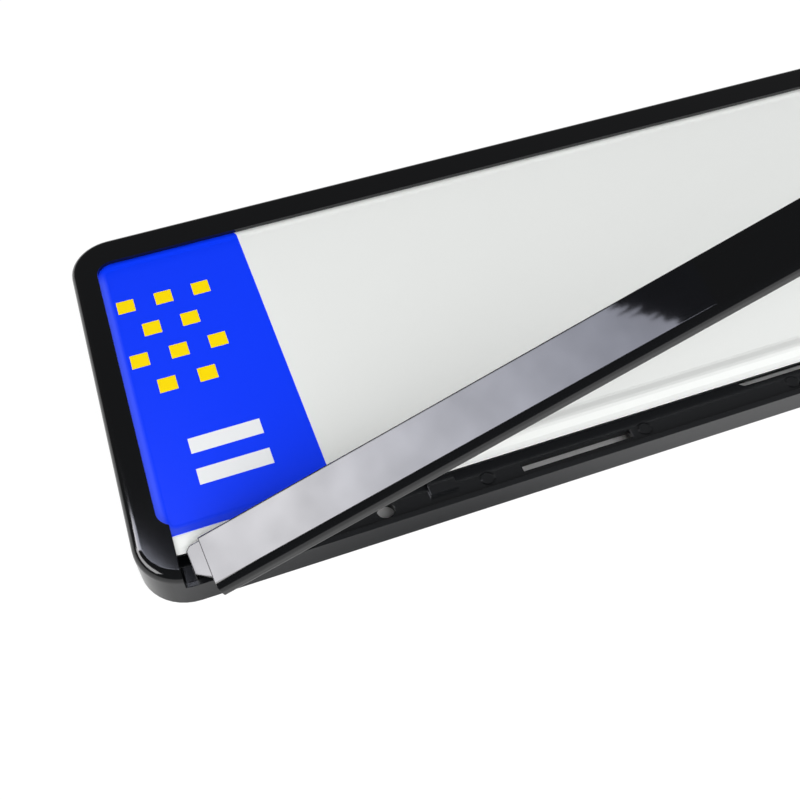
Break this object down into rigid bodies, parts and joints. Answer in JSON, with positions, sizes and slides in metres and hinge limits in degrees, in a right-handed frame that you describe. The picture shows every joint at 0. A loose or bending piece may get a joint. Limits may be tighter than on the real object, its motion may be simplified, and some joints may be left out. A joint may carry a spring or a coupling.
{
  "type": "number plate holder",
  "caption": "Shallow moulded frame that carries a long car number plate on a bumper, with a clip-on strip for its lower edge, shown unclipped.",
  "frame": {"origin": "on the back face of the frame, behind the middle of the number plate", "axes": "+X along the plate to the right, +Y up the plate, +Z out of the plate's face"},
  "size_m": [0.5238, 0.1283, 0.2002],
  "materials": {
    "frame_plastic": "high-gloss black ABS, lightly rubbed",
    "strip_plastic": "high-gloss black ABS, polished face",
    "plate_sheet": "stamped sheet with a white reflective face",
    "blue_field": "blue reflective film, satin"
  },
  "bodies": {
    "root": {"base_frame": "frame_plastic", "number_plate": "plate_sheet", "blue_film": "blue_field", "clip_strip": "strip_plastic"}
  },
  "joints": []
}
